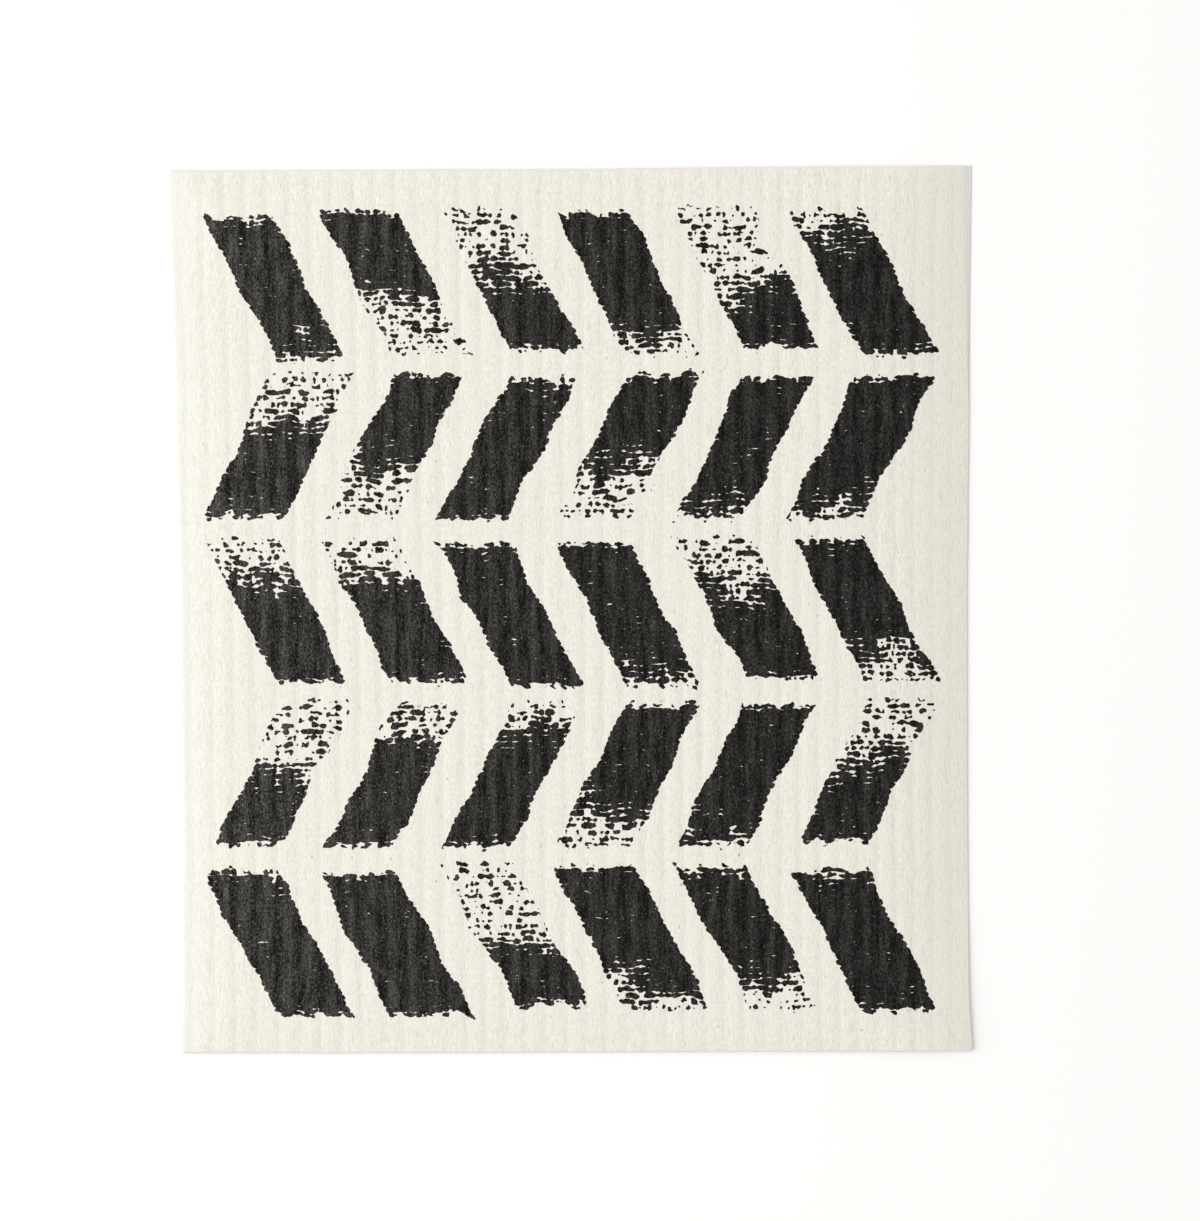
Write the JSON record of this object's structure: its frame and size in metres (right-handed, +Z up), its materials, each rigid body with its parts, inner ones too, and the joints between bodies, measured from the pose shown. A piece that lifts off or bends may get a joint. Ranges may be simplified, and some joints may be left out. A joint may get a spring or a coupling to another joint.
{
  "type": "cleaning cloth",
  "caption": "Flat ribbed sponge cloth, nearly square, off-white with a print of black brushed dabs, for wiping dishes and kitchen surfaces.",
  "frame": {"origin": "on the floor, under the middle of the sheet's box", "axes": "+Y along the ribs towards the top edge, +X towards the right edge, +Z up out of the printed face"},
  "size_m": [0.1808, 0.1998, 0.0017],
  "materials": {
    "cleaning_cloth": "matte natural cellulose with a black print"
  },
  "bodies": {
    "root": {"cleaning_cloth": "cleaning_cloth"}
  },
  "joints": []
}
